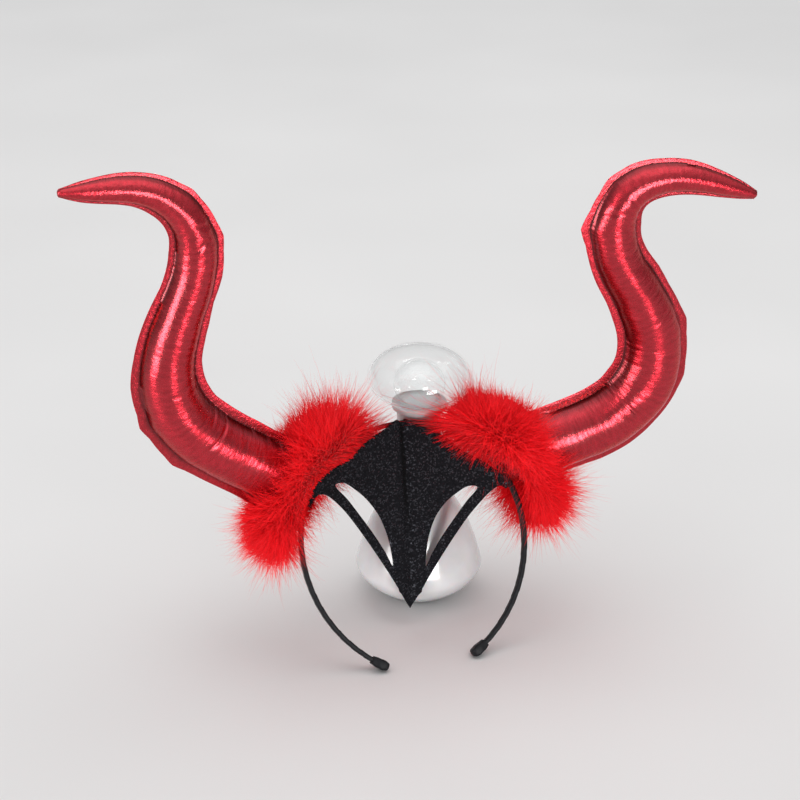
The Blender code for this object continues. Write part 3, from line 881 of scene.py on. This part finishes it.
def stuffed_horn(horn, look, rows=400, sides=72):
    rng = random.Random(11 + horn.side)
    wobble = {seam: kinked(rng, SEAM_KINKS, SEAM_WOBBLE) for seam in (-1, 1)}
    wave = kinked(rng, 30, 0.35)
    tips = [0.998, 1.0]
    rings, groove_shade = [], []
    for share in [0.992 * i / rows for i in range(rows + 1)] + tips:
        centre, seam, front = horn.frame(share)
        _, width, depth = smooth(horn.rows, share)
        slim = TIP_SLIM if share == 1.0 else 1.0
        slim *= ROOT_SLIM + (1 - ROOT_SLIM) * eased(share / ROOT_DRAWN)
        half_width, half_depth = HORN_WIDTH * width / 2 * slim, HORN_DEPTH * depth / 2 * slim
        soft = min(half_width / SOFT_FROM, 1.0)
        start = border_start(share)
        # painted shade: 1 in the groove where the tube meets the flat border, fading to 0 to either
        # side; stored as the seam attribute
        groove_shade += [exp(-(((abs(cos(2 * pi * i / sides)) - start) / GROOVE_SHADE_WIDTH) ** 2))
                  for i in range(sides)]
        ring = []
        for i in range(sides):
            angle = 2 * pi * i / sides
            across = cos(angle)
            edge = seam_edge(horn, share, 1 if across > 0 else -1, wobble) * soft
            reach = (half_width + edge * across**2) * across
            height = tube_height(across, half_depth, start) * (1 if sin(angle) >= 0 else -1)
            spot = centre + seam * reach + front * height
            lump = sum(noise.noise(spot * often) * high for often, high in LUMPS)
            dent = pucker(horn, share, across, wave) + creases(horn, share, across)
            inward = seam * reach * 0.5 + front * height
            if inward.length > 1e-6:
                spot += inward.normalized() * (lump + dent) * soft * (1 - abs(across) ** 8)
            ring.append(spot)
        rings.append(ring)
    piece = skin("horn_skin_" + horn.name, rings, look, radians(75))
    carry(piece.data, "seam", "FLOAT", groove_shade + [0.0, 0.0])
    return declare(piece, "red_foil", "horn_" + horn.name)


# Fur

def fur_ring(horn, backing):
    """Points of the fur's backing round the horn's root, with its reach at each."""
    around = 72
    loops, reaches = [], []
    for i in range(around):
        angle = 2 * pi * i / around
        lower = cos(angle) > 0
        along = FUR_REACH_DOWN if lower else FUR_REACH_UP
        follows = FUR_FOLLOWS_DOWN if lower else FUR_FOLLOWS_UP
        forward = 0.0 if lower else FUR_FORWARD * cos(angle) ** 2
        reach = hypot(along * cos(angle), FUR_REACH_ACROSS * sin(angle))
        loop = []
        for axial, bulge in FUR_SECTION:
            share = (FUR_START + FUR_DEPTH * axial) / horn.length
            centre, seam, front = horn.frame(share)
            _, width, depth = smooth(horn.rows, share)
            grown = reach * bulge * backing
            wide = HORN_WIDTH * width / 2 + FUR_CLEARANCE + grown
            deep = HORN_DEPTH * depth / 2 + FUR_CLEARANCE + grown
            sag = (grown + HORN_WIDTH * width / 2) * cos(angle)
            sag = sag**2 / (2 * BAND_HALF_WIDTH) * follows * bulge
            loop.append(centre + seam * wide * cos(angle) - horn.seat * sag
                        + front * (deep * sin(angle) + forward * bulge))
        loops.append(loop)
        reaches.append(reach * (1 - backing) + FUR_LOCK)
    return loops, reaches


def fur_backing(horn, look):
    """The skin that the hair grows from, which carries the hair's lie and length."""
    loops, reaches = fur_ring(horn, FUR_BACKING)
    outer, _ = fur_ring(horn, 1.0)
    around, count = len(loops), len(loops[0])
    mesh = bpy.data.meshes.new("fur_backing")
    faces = [(i * count + j, (i + 1) % around * count + j,
              (i + 1) % around * count + (j + 1) % count, i * count + (j + 1) % count)
             for i in range(around) for j in range(count)]
    mesh.from_pydata([p for loop in loops for p in loop], [], faces)
    face_out(mesh)
    lies, lengths = [], []
    outward = horn.tangent(FUR_ALONG)
    for i in range(around):
        angle = 2 * pi * i / around
        before = min(max((sin(angle) + 0.3) / 0.9, 0.0), 1.0)
        for j in range(count):
            growth = outer[i][j] - loops[i][j]
            growth = growth.normalized() if growth.length > 1e-6 else Vector((0, 0, 0))
            normal = mesh.vertices[i * count + j].normal
            ahead = max(normal.dot(outward), 0.0)
            if cos(angle) > 0.3:
                ahead *= FUR_AHEAD_BELOW
            lie = growth * 0.8 + normal * 0.8 + outward * before * 0.5
            lie.normalize()
            lies.append(lie)
            inward = max(-lie.x * horn.side, 0.0) * FUR_INWARD
            if horn.side < 0 and normal.y < 0.1:
                inward = 0.0
            low = max(lie.z, 0.0) * FUR_LOW if horn.side > 0 else 0.0
            shape = 1 - FUR_AHEAD * ahead * (1 - before) + FUR_BEFORE * before + inward - low
            if j == count - 1:
                shape *= FUR_MOUTH
            lengths.append(reaches[i] * shape)
    carry(mesh, "lie", "FLOAT_VECTOR", lies)
    carry(mesh, "length", "FLOAT", lengths)
    mesh.materials.append(look)
    return placed("fur_backing", mesh)


def hair_tree():
    """Geometry Nodes: curved, tapering hairs that grow from a skin in small clumps."""
    tree = bpy.data.node_groups.new("growing_hair", "GeometryNodeTree")
    face = tree.interface
    face.new_socket("Skin", in_out="INPUT", socket_type="NodeSocketGeometry")
    for name in ("Density", "Thickness", "Shortest", "Longest", "Spread", "Curl", "Clump"):
        face.new_socket(name, in_out="INPUT", socket_type="NodeSocketFloat")
    for name in ("Seed", "Segments"):
        face.new_socket(name, in_out="INPUT", socket_type="NodeSocketInt")
    face.new_socket("Finish", in_out="INPUT", socket_type="NodeSocketMaterial")
    face.new_socket("Hair", in_out="OUTPUT", socket_type="NodeSocketGeometry")
    given = node(tree, "NodeGroupInput").outputs

    def read(name, kind):
        return node(tree, "GeometryNodeInputNamedAttribute", {"Name": name},
                    data_type=kind).outputs["Attribute"]

    def keep(geometry, name, kind, value):
        return node(tree, "GeometryNodeStoreNamedAttribute",
                    {"Geometry": geometry, "Name": name, "Value": value},
                    data_type=kind, domain="POINT").outputs[0]

    def chance(low, high, seed):
        return node(tree, "FunctionNodeRandomValue", {2: low, 3: high, "Seed": seed},
                    data_type="FLOAT").outputs[1]

    roots = node(tree, "GeometryNodeDistributePointsOnFaces",
                 {"Mesh": given["Skin"], "Density": given["Density"], "Seed": given["Seed"]})
    anyway = node(tree, "FunctionNodeRandomValue",
                  {0: (-1.0, -1.0, -1.0), 1: (1.0, 1.0, 1.0), "Seed": given["Seed"]},
                  data_type="FLOAT_VECTOR").outputs[0]
    tone = chance(0.0, 1.0, given["Seed"])
    share = chance(given["Shortest"], given["Longest"],
                   math_node(tree, "ADD", given["Seed"], 5.0))
    where = node(tree, "GeometryNodeInputPosition").outputs[0]
    waves = node(tree, "ShaderNodeTexNoise", {"Vector": where, "Scale": 70.0, "Detail": 1.0})
    swirl = vector(tree, "SUBTRACT", waves.outputs["Color"], (0.5, 0.5, 0.5))
    lie = vector(tree, "ADD", read("lie", "FLOAT_VECTOR"), scaled(tree, anyway, given["Spread"]))
    lie = vector(tree, "NORMALIZE", vector(tree, "ADD", lie, scaled(tree, swirl, 0.9)))
    cells = node(tree, "ShaderNodeTexVoronoi", {"Vector": where, "Scale": 170.0})
    towards = vector(tree, "SUBTRACT", cells.outputs["Position"], where)
    towards = scaled(tree, towards, given["Clump"])
    tufts = speckle(tree, where, 130.0, 0.0)
    share = math_node(tree, "MULTIPLY", share, mapped(tree, tufts, 0.78, 1.15, 0.3, 0.7))
    long = math_node(tree, "MULTIPLY", read("length", "FLOAT"), share)
    swing = vector(tree, "ADD", scaled(tree, swirl, 1.1), scaled(tree, anyway, 0.45))
    curl = scaled(tree, scaled(tree, swing, given["Curl"]), long)
    points = keep(roots.outputs["Points"], "tone", "FLOAT", tone)
    points = keep(points, "curl", "FLOAT_VECTOR", curl)
    points = keep(points, "towards", "FLOAT_VECTOR", towards)

    hair = node(tree, "GeometryNodeMeshCone",
                {"Vertices": 3, "Side Segments": given["Segments"], "Radius Top": 0.0,
                 "Radius Bottom": 1.0, "Depth": 1.0}, fill_type="NGON").outputs[0]
    height = node(tree, "ShaderNodeSeparateXYZ", {0: where}).outputs["Z"]
    hair = keep(hair, "along", "FLOAT", height)
    turn = node(tree, "FunctionNodeAlignRotationToVector", {"Vector": lie}, axis="Z").outputs[0]
    size = node(tree, "ShaderNodeCombineXYZ",
                {0: given["Thickness"], 1: given["Thickness"], 2: long}).outputs[0]
    grown = node(tree, "GeometryNodeInstanceOnPoints",
                 {"Points": points, "Instance": hair, "Rotation": turn, "Scale": size})
    real = node(tree, "GeometryNodeRealizeInstances", {0: grown.outputs[0]}).outputs[0]
    along = read("along", "FLOAT")
    squared = math_node(tree, "MULTIPLY", along, along)
    offset = vector(tree, "ADD", scaled(tree, read("curl", "FLOAT_VECTOR"), squared),
                    scaled(tree, read("towards", "FLOAT_VECTOR"), along))
    curved = node(tree, "GeometryNodeSetPosition", {"Geometry": real, "Offset": offset})
    both = node(tree, "GeometryNodeJoinGeometry", {0: curved.outputs[0]})
    tree.links.new(given["Skin"], both.inputs[0])
    soft = node(tree, "GeometryNodeSetShadeSmooth", {"Geometry": both.outputs[0]})
    whole = node(tree, "GeometryNodeRealizeInstances", {0: soft.outputs[0]})
    done = node(tree, "GeometryNodeSetMaterial",
                {"Geometry": whole.outputs[0], "Material": given["Finish"]})
    node(tree, "NodeGroupOutput", {0: done.outputs[0]})
    return tree


def grow(tree, backing, **sizes):
    """The hair of one coat as a plain mesh."""
    modifier = backing.modifiers.new("hair", "NODES")
    modifier.node_group = tree
    sockets = {item.name: item.identifier for item in tree.interface.items_tree
               if item.in_out == "INPUT"}
    for name, value in sizes.items():
        modifier[sockets[name]] = value
    shown = backing.evaluated_get(bpy.context.evaluated_depsgraph_get())
    mesh = bpy.data.meshes.new_from_object(shown)
    backing.modifiers.remove(modifier)
    return mesh


def view_back():
    """From the object towards the eye that looks at its front."""
    flat = cos(CAMERA_ELEVATION)
    return Vector((sin(CAMERA_AZIMUTH) * flat, -cos(CAMERA_AZIMUTH) * flat,
                   sin(CAMERA_ELEVATION)))


def mask_back(across, height):
    """The back of the felt at points across the hoop and at a height, all at once."""
    places = np.linspace(0.0, BAND_HALF_WIDTH, 64)
    fronts = np.array([tuple(hoop_front(place)) for place in places])
    edge_y = np.interp(np.abs(across), places, fronts[:, 1])
    edge_z = np.interp(np.abs(across), places, fronts[:, 2])
    return edge_y - MASK_GROOVE_DEPTH - mask_forward(edge_z - height)


def mask_forward(hang):
    """How far the felt has come forward where it hangs this far below the hoop."""
    return MASK_FORWARD * (1 - (1 - np.clip(hang / MASK_DROP, 0.0, 1.0)) ** MASK_CURL)


def mask_skew(across, down):
    """How far the felt is drawn down on the right and up on the left."""
    below = np.clip((down - MASK_SKEW_FROM) / (MASK_SKEW_FULL - MASK_SKEW_FROM), 0.0, 1.0)
    free = np.clip(1 - np.abs(across / MASK_WING_ACROSS) ** MASK_SKEW_POWER, 0.0, 1.0)
    return across * BAND_HALF_WIDTH * MASK_SKEW * below * free


def outside_by(spots, loop):
    """Distance of each spot from the outline, below 0 for spots within it."""
    away = np.full(len(spots), 1e9)
    within = np.zeros(len(spots), bool)
    for (x1, y1), (x2, y2) in zip(loop, np.roll(loop, -1, 0)):
        away = np.minimum(away, np.hypot(spots[:, 0] - x1, spots[:, 1] - y1))
        crossed = (y1 > spots[:, 1]) != (y2 > spots[:, 1])
        slope = (x2 - x1) / (y2 - y1) if y2 != y1 else 0.0
        within ^= crossed & (spots[:, 0] < slope * (spots[:, 1] - y1) + x1)
    away[within] *= -1
    return away


def combed(mesh, side):
    """Lays the hair behind the mask as seen from the front, and keeps it off the dome."""
    count = len(mesh.vertices)
    points = np.zeros(count * 3, np.float32)
    mesh.vertices.foreach_get("co", points)
    points = points.reshape(-1, 3).astype(float)
    tone = np.zeros(count, np.float32)
    mesh.attributes["tone"].data.foreach_get("value", tone)
    sight = np.array(tuple(view_back()))
    ahead = np.zeros(count)
    for _ in range(5):
        spots = points + ahead[:, None] * sight
        back = mask_back(spots[:, 0] - BAND_ASIDE, spots[:, 2])
        ahead = (back - points[:, 1]) / sight[1]
    spots = points + ahead[:, None] * sight
    across = (spots[:, 0] - BAND_ASIDE) / BAND_HALF_WIDTH
    level = (hoop_front(0.0).z - spots[:, 2]) / MASK_DROP
    down = level
    for _ in range(5):
        down = level - mask_skew(across, down) / MASK_DROP
    stray = (side > 0) & (tone > 1 - STRAY_SHARE)
    near = (np.abs(across) < COMB_ACROSS) & (down > COMB_DOWN[0]) & (down < COMB_DOWN[1])
    picked = np.nonzero(near & (ahead < COMB_DEPTH) & ~stray)[0]
    flat = np.stack([across[picked], down[picked]], 1) * MASK_SCALE
    away = outside_by(flat, np.array(mask_outline(3)) * MASK_SCALE)
    over = (OVERLAP if side > 0 else 0.0) * tone[picked] - COMB_EDGE
    room = np.maximum(away + over, 0.0) * COMB_SLOPE * (1 + tone[picked]) - COMB_GAP
    pressed = np.minimum(ahead[picked] + room, 0.0)
    points[picked] += pressed[:, None] * sight
    radius, half = DOME_RADIUS + FUR_DOME_ROOM, DOME_HALF_HEIGHT + FUR_DOME_ROOM
    local = points - np.array([0, 0, DOME_CENTRE])
    local[:, 2] *= radius / half
    far = np.linalg.norm(local, axis=1)
    inner = far < radius
    local[inner] *= (radius / far[inner])[:, None]
    local[:, 2] *= half / radius
    points[inner] = local[inner] + np.array([0, 0, DOME_CENTRE])
    points[:, 1] -= 0.5 * np.minimum(points[:, 1] - FUR_FORE, 0.0)
    mesh.vertices.foreach_set("co", points.astype(np.float32).ravel())
    mesh.update()


def fur_trim(horn, tree, look):
    """Two coats of marabou: a dense short one and a thin one of longer wisps."""
    backing = fur_backing(horn, look)
    area = sum(f.area for f in backing.data.polygons)
    for place, (coat, hairs, *sizes) in enumerate(FUR_COATS):
        mesh = grow(tree, backing, Density=hairs / area, Seed=3 + place + 2 * horn.side,
                    Finish=look, **dict(zip(FUR_COAT_SIZES, sizes)))
        combed(mesh, horn.side)
        piece = placed(f"fur_{horn.name}_{coat}", mesh)
        declare(piece, "red_fur", "fur_trim_" + horn.name)
    bpy.data.objects.remove(backing)


# Mask

def hoop_front(across):
    """Front lower corner of the strip, where the mask lies on the hoop."""
    angle = asin(min(abs(across) / BAND_HALF_WIDTH, 0.96))
    (x, rise), normal = crown_point(angle)
    inward = BAND_THICKNESS / 2
    return hoop_point(x - normal.x * inward, rise - normal.y * inward, BAND_FACE / 2)


def mask_point(across, down):
    """The felt's middle surface: hung from the hoop, curling forward to its point."""
    aside = across * BAND_HALF_WIDTH
    z = hoop_front(0.0).z - down * MASK_DROP - mask_skew(across, down)
    edge = hoop_front(aside)
    groove = MASK_GROOVE_DEPTH * exp(-((aside / MASK_GROOVE_WIDTH) ** 2))
    y = edge.y - GAP - MASK_THICKNESS / 2 - MASK_GROOVE_DEPTH
    return Vector((BAND_ASIDE + aside, y + groove - mask_forward(edge.z - z), z))


def on_felt(spots, borders, room=0.0):
    """Which spots lie inside the outline and outside the slits, with room to their edges."""
    away = np.array([outside_by(spots, border) for border in borders])
    return (away[0] < -room) & (away[1:] > room).all(0)


def mask_outline(steps):
    half = rounded(MASK_EDGE, steps, closed=False)
    return half + [(-a, d) for a, d in reversed(half[1:-1])]


def felt_mask(look):
    """Felt cut to its outline with two slits, hung in its curve, its edges soft."""
    steps = 5
    slit = rounded(MASK_SLIT, steps, closed=True)
    outline = mask_outline(steps)
    slits = [slit, [(-a, d) for a, d in reversed(slit)]]
    loops = [outline] + slits
    points, edges = [], []
    for loop in loops:
        start, count = len(points), len(loop)
        points += loop
        edges += [(start + i, start + (i + 1) % count) for i in range(count)]
    borders = [np.array(loop) * MASK_SCALE for loop in loops]
    columns, rows = (int(size / MASK_MESH) for size in MASK_SCALE)
    grid = np.array([(i + 0.5 * (j % 2), j) for i in range(-columns, columns + 1)
                     for j in range(-4, rows + 1)]) * MASK_MESH
    points += [tuple(p) for p in grid[on_felt(grid, borders, MASK_MESH / 2)] / MASK_SCALE]
    corners, _, faces, *_ = delaunay_2d_cdt([Vector(p) for p in points], edges, [], 1, 1e-6)
    centres = np.array([sum((corners[i] for i in face), Vector((0, 0))) / len(face)
                        for face in faces])
    bm = bmesh.new()
    verts = [bm.verts.new((v.x, v.y, 0)) for v in corners]
    for face, kept in zip(faces, on_felt(centres * MASK_SCALE, borders)):
        if kept:
            bm.faces.new([verts[i] for i in face])
    bmesh.ops.delete(bm, geom=[v for v in bm.verts if not v.link_faces], context="VERTS")
    for vert in bm.verts:
        vert.co = mask_point(vert.co.x, vert.co.y)
    bm.verts.index_update()
    bmesh.ops.recalc_face_normals(bm, faces=bm.faces)
    cut_area = sum(f.calc_area() for f in bm.faces)
    mesh = bpy.data.meshes.new("mask_cut")
    rim = [v.index for v in bm.verts if v.is_boundary]
    bm.to_mesh(mesh)
    bm.free()
    cut = placed("mask_cut", mesh)
    full = cut.vertex_groups.new(name="full")
    full.add(list(range(len(mesh.vertices))), 1.0, "REPLACE")
    full.add(rim, MASK_RIM, "REPLACE")
    wall = cut.modifiers.new("felt", "SOLIDIFY")
    wall.thickness, wall.offset, wall.vertex_group = MASK_THICKNESS, 0.0, "full"
    shown = cut.evaluated_get(bpy.context.evaluated_depsgraph_get())
    piece = finish_piece(bpy.data.meshes.new_from_object(shown), "felt_mask", look, radians(60))
    bpy.data.objects.remove(cut)
    return declare(piece, "glitter_felt", "brow_mask")


# Stand

def arc_profile(radius, centre, half_height, low, steps):
    """Quarter and more of an oval, from its mouth to its top."""
    rows = []
    for i in range(steps + 1):
        angle = low + (pi / 2 - low) * i / steps
        rows.append((radius * cos(angle), centre + half_height * sin(angle)))
    rows[-1] = (0.0, centre + half_height)
    return rows


def stand_base(look):
    profile = [(0.0, 0.0)]
    for i in range(60):
        height = i / 60
        profile.append((BASE_RADIUS * smooth(BASE_BELLY, height)[0], BASE_BELLY_HEIGHT * height))
    under = BASE_HEIGHT - FLANGE_HEIGHT
    edge = FLANGE_EDGE
    profile += [(NECK_RADIUS, BASE_BELLY_HEIGHT), (NECK_RADIUS, under - 2 * edge),
                (NECK_RADIUS + edge, under - edge), (FLANGE_RADIUS - edge, under),
                (FLANGE_RADIUS - edge * 0.3, under + edge * 0.3), (FLANGE_RADIUS, under + edge),
                (FLANGE_RADIUS, BASE_HEIGHT - edge),
                (FLANGE_RADIUS - edge * 0.3, BASE_HEIGHT - edge * 0.3),
                (FLANGE_RADIUS - edge, BASE_HEIGHT), (0.0, BASE_HEIGHT)]
    base = turned("turned_base", profile, look, 128, radians(35))
    return declare(base, "white_gloss", "stand_base")


def clear_shell(name, radius, half_height, mouth, centre, look, cad_node):
    low = asin(-sqrt(max(1 - (mouth / radius) ** 2, 0.0)))
    outer = arc_profile(radius, centre, half_height, low, 28)
    inner = arc_profile(radius - DOME_WALL, centre, half_height - DOME_WALL, low, 28)
    shell = turned(name, outer + inner[::-1], look, 112, radians(40), walled=True)
    return declare(shell, "clear_dome", cad_node)


def domes(look):
    clear_shell("clear_dome", DOME_RADIUS, DOME_HALF_HEIGHT, DOME_MOUTH, DOME_CENTRE, look,
                "stand_dome")
    half = INNER_DOME_HEIGHT / (1 + sqrt(1 - (INNER_DOME_MOUTH / INNER_DOME_RADIUS) ** 2))
    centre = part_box("stand_inner_dome")[1].z - half
    clear_shell("clear_inner_dome", INNER_DOME_RADIUS, half, INNER_DOME_MOUTH, centre, look,
                "stand_inner_dome")


# Studio

def camera():
    lens = bpy.data.cameras.new("camera")
    lens.lens = CAMERA_LENS
    lens.sensor_width = 36.0
    eye = placed("camera", lens)
    back = view_back()
    eye.location = CAMERA_TARGET + back * CAMERA_DISTANCE
    eye.rotation_mode = "QUATERNION"
    eye.rotation_quaternion = (-back).to_track_quat("-Z", "Y")
    bpy.context.scene.camera = eye


def soft_box(name, place, size, power):
    """A rectangular studio light, aimed at the middle of the part."""
    lamp = bpy.data.lights.new(name, "AREA")
    lamp.shape = "RECTANGLE"
    lamp.size, lamp.size_y = size
    lamp.energy = power
    lamp.color = (1.0, 0.99, 0.98)
    light = placed(name, lamp)
    light.location = place
    light.visible_camera = False
    light.rotation_mode = "QUATERNION"
    light.rotation_quaternion = (LIGHT_TARGET - Vector(place)).to_track_quat("-Z", "Y")
    return light


def sky():
    """An even light from all round, weaker from below."""
    world = bpy.data.worlds.new("studio")
    world.use_nodes = True
    tree = world.node_tree
    back = tree.nodes["Background"].inputs
    around = node(tree, "ShaderNodeTexCoord").outputs["Generated"]
    upward = node(tree, "ShaderNodeSeparateXYZ", {0: around}).outputs["Z"]
    tree.links.new(mapped(tree, upward, 0.16, 1.13), back["Strength"])
    back["Color"].default_value = (0.985, 0.99, 1.0, 1.0)
    bpy.context.scene.world = world
    bpy.context.scene.view_settings.view_transform = "Standard"


def laid_floor():
    half = FLOOR_WIDTH / 2
    mesh = bpy.data.meshes.new("floor")
    mesh.from_pydata([(-half, -half, 0), (half, -half, 0), (half, half, 0), (-half, half, 0)],
                     [], [(0, 1, 2, 3)])
    mesh.materials.append(pale_floor())
    floor = placed("floor", mesh)
    return floor


def studio():
    sky()
    past_low_lights = bpy.data.collections.new("past_the_low_lights")
    past_low_lights.objects.link(laid_floor())
    past_low_lights.collection_objects[0].light_linking.link_state = "EXCLUDE"
    for name, place, size, power, on_floor in LIGHTS:
        light = soft_box(name, place, size, power)
        if not on_floor:
            light.light_linking.receiver_collection = past_low_lights


def build():
    satin = satin_ribbon()
    foil = red_foil()
    marabou = red_marabou()
    clear = clear_plastic()
    wound_hoop(satin)
    hair = hair_tree()
    for name in SIDES:
        horn = Horn(name)
        sleeve(name, satin)
        stuffed_horn(horn, foil)
        fur_trim(horn, hair, marabou)
    felt_mask(glitter_felt())
    stand_base(white_gloss())
    domes(clear)
    camera()
    studio()


build()
